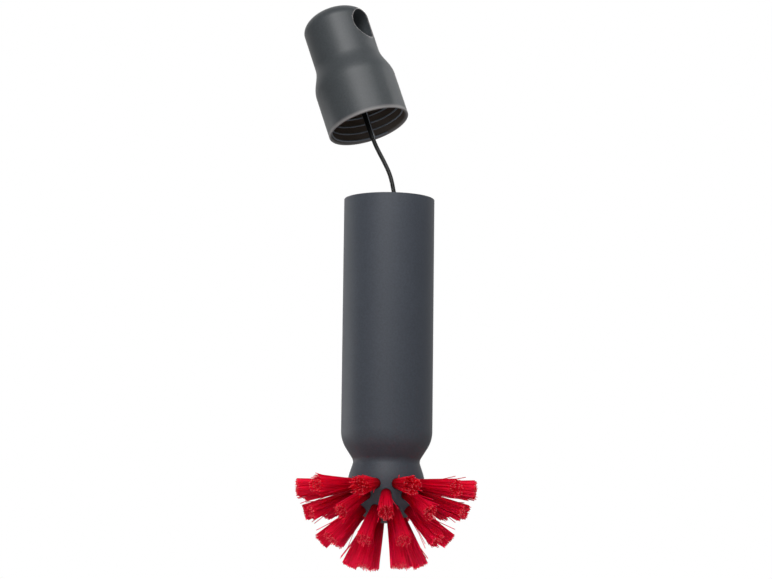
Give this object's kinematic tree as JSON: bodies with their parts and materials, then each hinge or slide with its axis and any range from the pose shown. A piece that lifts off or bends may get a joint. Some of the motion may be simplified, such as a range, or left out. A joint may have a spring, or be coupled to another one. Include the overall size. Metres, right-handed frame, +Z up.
{
  "type": "bottle brush",
  "caption": "Bottle brush: hollow cylindrical handle, ball head with radiating bristle tufts, and a domed screw cap that carries a slim straw brush on a springy stem.",
  "frame": {"origin": "on the handle's axis, halfway up its straight grip, where a hand holds it", "axes": "+Z up the handle's axis from the ball head to the open mouth, +X to the right in the picture, -Y towards its viewer"},
  "size_m": [0.0807, 0.0803, 0.2544],
  "materials": {
    "handle_plastic": "matte",
    "cap_plastic": "matte",
    "inner_plastic": "satin",
    "bristle_nylon": "satin",
    "stem_coating": "satin",
    "ferrule_metal": "satin"
  },
  "bodies": {
    "handle": {"handle_tube": "handle_plastic", "threaded_neck": "inner_plastic", "brush_head": "handle_plastic", "bristle_ring_upper": "bristle_nylon", "bristle_ring_second": "bristle_nylon", "bristle_ring_third": "bristle_nylon", "bristle_ring_bottom": "bristle_nylon"},
    "straw_tool": {"flexible_stem": "stem_coating", "stem_ferrule": "ferrule_metal", "straw_brush": "bristle_nylon"},
    "cap": {"cap_shell": "cap_plastic", "stem_plug": "inner_plastic"}
  },
  "joints": [
    {"name": "straw_brush_pull", "type": "slide", "parent": "handle", "child": "straw_tool", "axis": [-0.2225, 0, 0.9749], "range_m": [0, 0.05]},
    {"name": "stem_flex", "type": "hinge", "parent": "straw_tool", "child": "cap", "pos_m": [0, 0, 0.0563], "axis": [-0.4848, -0.8746, 0], "range_deg": [-20, 25], "stiffness_Nm_per_rad": 0.08, "springref_deg": -2.58, "deforming": ["flexible_stem"]}
  ]
}
